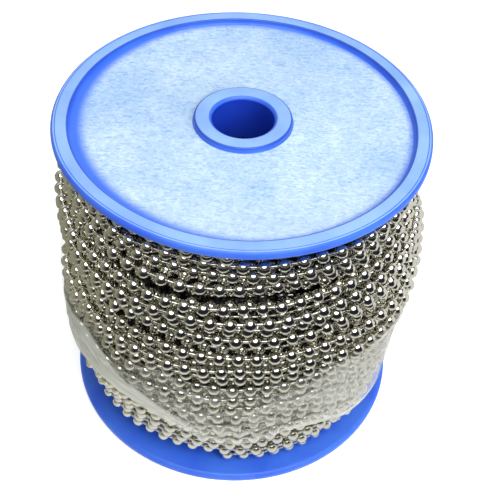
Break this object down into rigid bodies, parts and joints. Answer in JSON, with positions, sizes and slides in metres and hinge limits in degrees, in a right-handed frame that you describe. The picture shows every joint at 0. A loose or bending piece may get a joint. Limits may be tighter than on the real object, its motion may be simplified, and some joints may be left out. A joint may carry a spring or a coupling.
{
  "type": "spool of roller blind ball chain",
  "caption": "Nickel ball chain for roller blinds, wound on a blue plastic spool with a bore through it and held by a band of clear stretch film.",
  "frame": {"origin": "centre of the lower flange's outer face, on which the spool stands", "axes": "+Z along the spool's axis, from the lower flange to the upper one"},
  "size_m": [0.1321, 0.1327, 0.122],
  "materials": {
    "spool_plastic": "satin",
    "core_plastic": "satin",
    "nickel_plate": "polished",
    "stretch_film": "glossy"
  },
  "bodies": {
    "root": {"lower_flange": "spool_plastic", "upper_flange": "spool_plastic", "core_tube": "core_plastic", "ball_chain_winding": "nickel_plate", "film_wrap": "stretch_film"}
  },
  "joints": []
}
